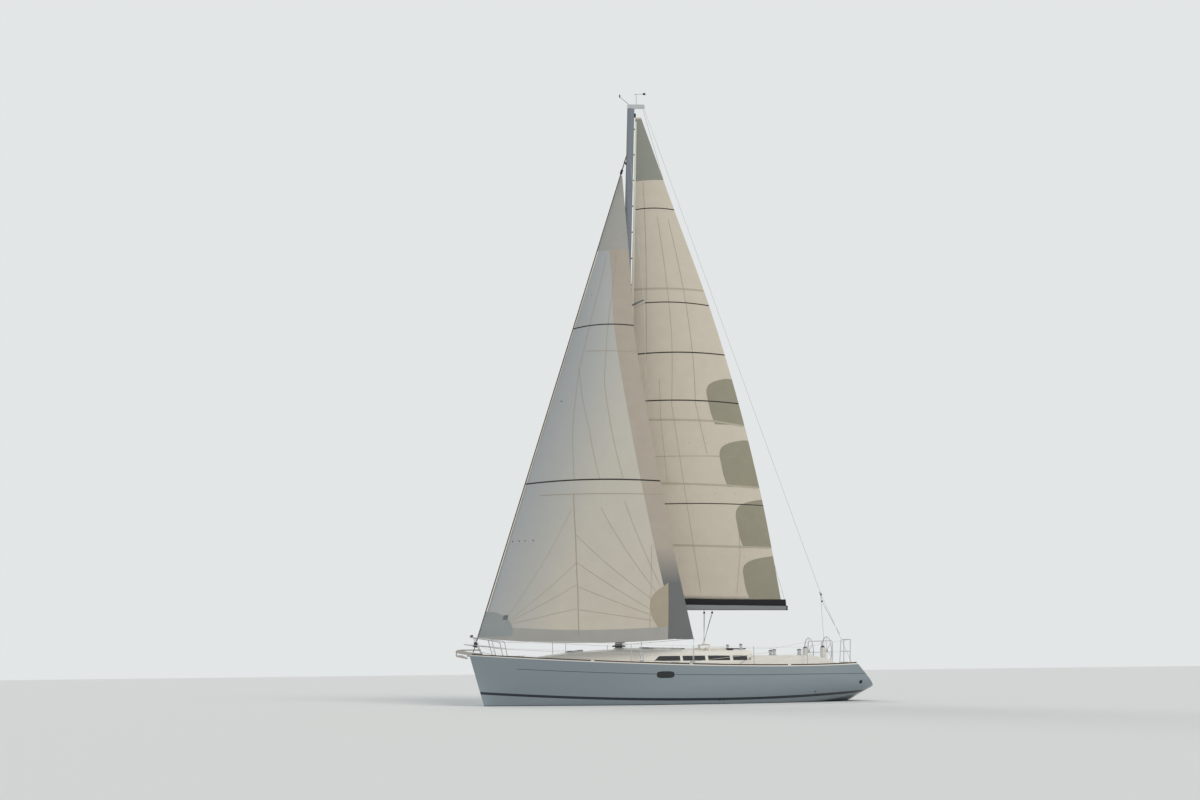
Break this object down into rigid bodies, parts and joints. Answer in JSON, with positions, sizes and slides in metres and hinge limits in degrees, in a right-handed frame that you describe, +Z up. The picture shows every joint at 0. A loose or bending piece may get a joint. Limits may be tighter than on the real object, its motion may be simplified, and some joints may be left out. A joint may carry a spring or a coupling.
{
  "type": "sloop-rigged cruising yacht",
  "caption": "Cruising sloop under full sail, with a fin keel, spade rudder, twin wheels, low coachroof and open stern.",
  "frame": {"origin": "amidships on the centreline at the height of the water", "axes": "+X forward to the bow, +Y to port, +Z up the mast"},
  "size_m": [14.5549, 4.3304, 24.565],
  "materials": {
    "gelcoat": "glossy white gelcoat with a dark boot stripe",
    "deck_white": "satin non-slip moulding",
    "dark_glazing": "dark tinted acrylic",
    "rail_trim": "dark anodised",
    "keel_paint": "painted cast iron",
    "drive_paint": "satin grey",
    "engine_paint": "satin enamel",
    "teak": "oiled",
    "stainless": "polished",
    "black_plastic": "moulded",
    "mast_alloy": "anodised satin",
    "boom_alloy": "anodised satin",
    "sailcloth": "woven laminate",
    "bag_cloth": "dark acrylic canvas",
    "bronze": "cast bronze",
    "lid_glazing": "smoked acrylic"
  },
  "bodies": {
    "hull_body": {"hull": "gelcoat", "hull_windows": "dark_glazing", "deck": "deck_white", "coachroof_windows": "dark_glazing", "toe_rails": "rail_trim", "keel": "keel_paint", "saildrive_leg": "drive_paint", "engine": "engine_paint", "companion_steps": "teak", "washboard": "teak", "hatch_frames": "mast_alloy", "bow_roller": "stainless", "anchor": "stainless", "pulpit": "stainless", "pushpits": "stainless", "stanchions": "stainless", "mooring_cleats": "stainless", "genoa_tracks": "mast_alloy", "winches": "stainless", "mainsheet_traveller": "deck_white", "grab_rails": "stainless", "steering_pedestals": "deck_white", "mast": "mast_alloy", "mast_step": "mast_alloy", "spreaders": "mast_alloy", "shrouds": "stainless", "chainplates": "stainless", "masthead_crane": "mast_alloy", "wind_instruments": "black_plastic", "furling_drum": "black_plastic", "forestay": "mast_alloy", "backstay": "stainless", "genoa": "sailcloth", "mast_brackets": "stainless"},
    "boom_body": {"boom": "boom_alloy", "mainsail": "sailcloth", "sail_bag": "bag_cloth", "vang": "stainless", "boom_blocks": "black_plastic"},
    "rudder_body": {"rudder": "gelcoat"},
    "wheel_port_body": {"wheel_port": "stainless"},
    "wheel_starboard_body": {"wheel_starboard": "stainless"},
    "propeller_body": {"propeller": "bronze"},
    "companion_hatch_body": {"companion_hatch": "lid_glazing"},
    "roof_hatch_fore_body": {"roof_hatch_fore": "lid_glazing"},
    "roof_hatch_aft_body": {"roof_hatch_aft": "lid_glazing"},
    "fore_hatch_body": {"fore_hatch": "lid_glazing"},
    "anchor_locker_lid_body": {"anchor_locker_lid": "deck_white"},
    "seat_locker_lid_port_body": {"seat_locker_lid_port": "deck_white"},
    "seat_locker_lid_starboard_body": {"seat_locker_lid_starboard": "deck_white"}
  },
  "joints": [
    {"name": "boom_swing", "type": "hinge", "parent": "hull_body", "child": "boom_body", "pos_m": [1.61662, 0, 3.3], "axis": [-0.037, 0, 0.9993], "range_deg": [-22, 65]},
    {"name": "rudder_turn", "type": "hinge", "parent": "hull_body", "child": "rudder_body", "pos_m": [-5.2, 0, 0], "axis": [0, 0, 1], "range_deg": [-35, 35]},
    {"name": "wheel_port_turn", "type": "hinge", "parent": "hull_body", "child": "wheel_port_body", "pos_m": [-5.39, 0.9, 1.745], "axis": [1, 0, 0], "range_deg": [-270, 270]},
    {"name": "wheel_starboard_turn", "type": "hinge", "parent": "hull_body", "child": "wheel_starboard_body", "pos_m": [-5.39, -0.9, 1.745], "axis": [1, 0, 0], "range_deg": [-270, 270]},
    {"name": "propeller_turn", "type": "hinge", "parent": "hull_body", "child": "propeller_body", "pos_m": [-2.6, 0, -0.96], "axis": [1, 0, 0], "continuous": true},
    {"name": "companion_hatch_slide", "type": "slide", "parent": "hull_body", "child": "companion_hatch_body", "axis": [1, 0, 0], "range_m": [0, 0.75]},
    {"name": "roof_hatch_fore_open", "type": "hinge", "parent": "hull_body", "child": "roof_hatch_fore_body", "pos_m": [1.08, 0, 1.88], "axis": [0, 1, 0], "range_deg": [0, 80]},
    {"name": "roof_hatch_aft_open", "type": "hinge", "parent": "hull_body", "child": "roof_hatch_aft_body", "pos_m": [-0.02, 0, 1.856], "axis": [0, 1, 0], "range_deg": [0, 80]},
    {"name": "fore_hatch_open", "type": "hinge", "parent": "hull_body", "child": "fore_hatch_body", "pos_m": [3.7, 0, 1.772], "axis": [0, 1, 0], "range_deg": [0, 80]},
    {"name": "anchor_locker_lid_open", "type": "hinge", "parent": "hull_body", "child": "anchor_locker_lid_body", "pos_m": [5.54, 0, 1.6235], "axis": [0, -1, 0], "range_deg": [0, 95]},
    {"name": "seat_locker_lid_port_open", "type": "hinge", "parent": "hull_body", "child": "seat_locker_lid_port_body", "pos_m": [-3.9, 1.145, 1.1803], "axis": [-1, 0, 0], "range_deg": [0, 85]},
    {"name": "seat_locker_lid_starboard_open", "type": "hinge", "parent": "hull_body", "child": "seat_locker_lid_starboard_body", "pos_m": [-3.9, -1.145, 1.1803], "axis": [1, 0, 0], "range_deg": [0, 85]}
  ],
  "couplings": [
    {"joint": "wheel_port_turn", "follows": "rudder_turn", "ratio": 7.7143},
    {"joint": "wheel_starboard_turn", "follows": "rudder_turn", "ratio": 7.7143}
  ]
}
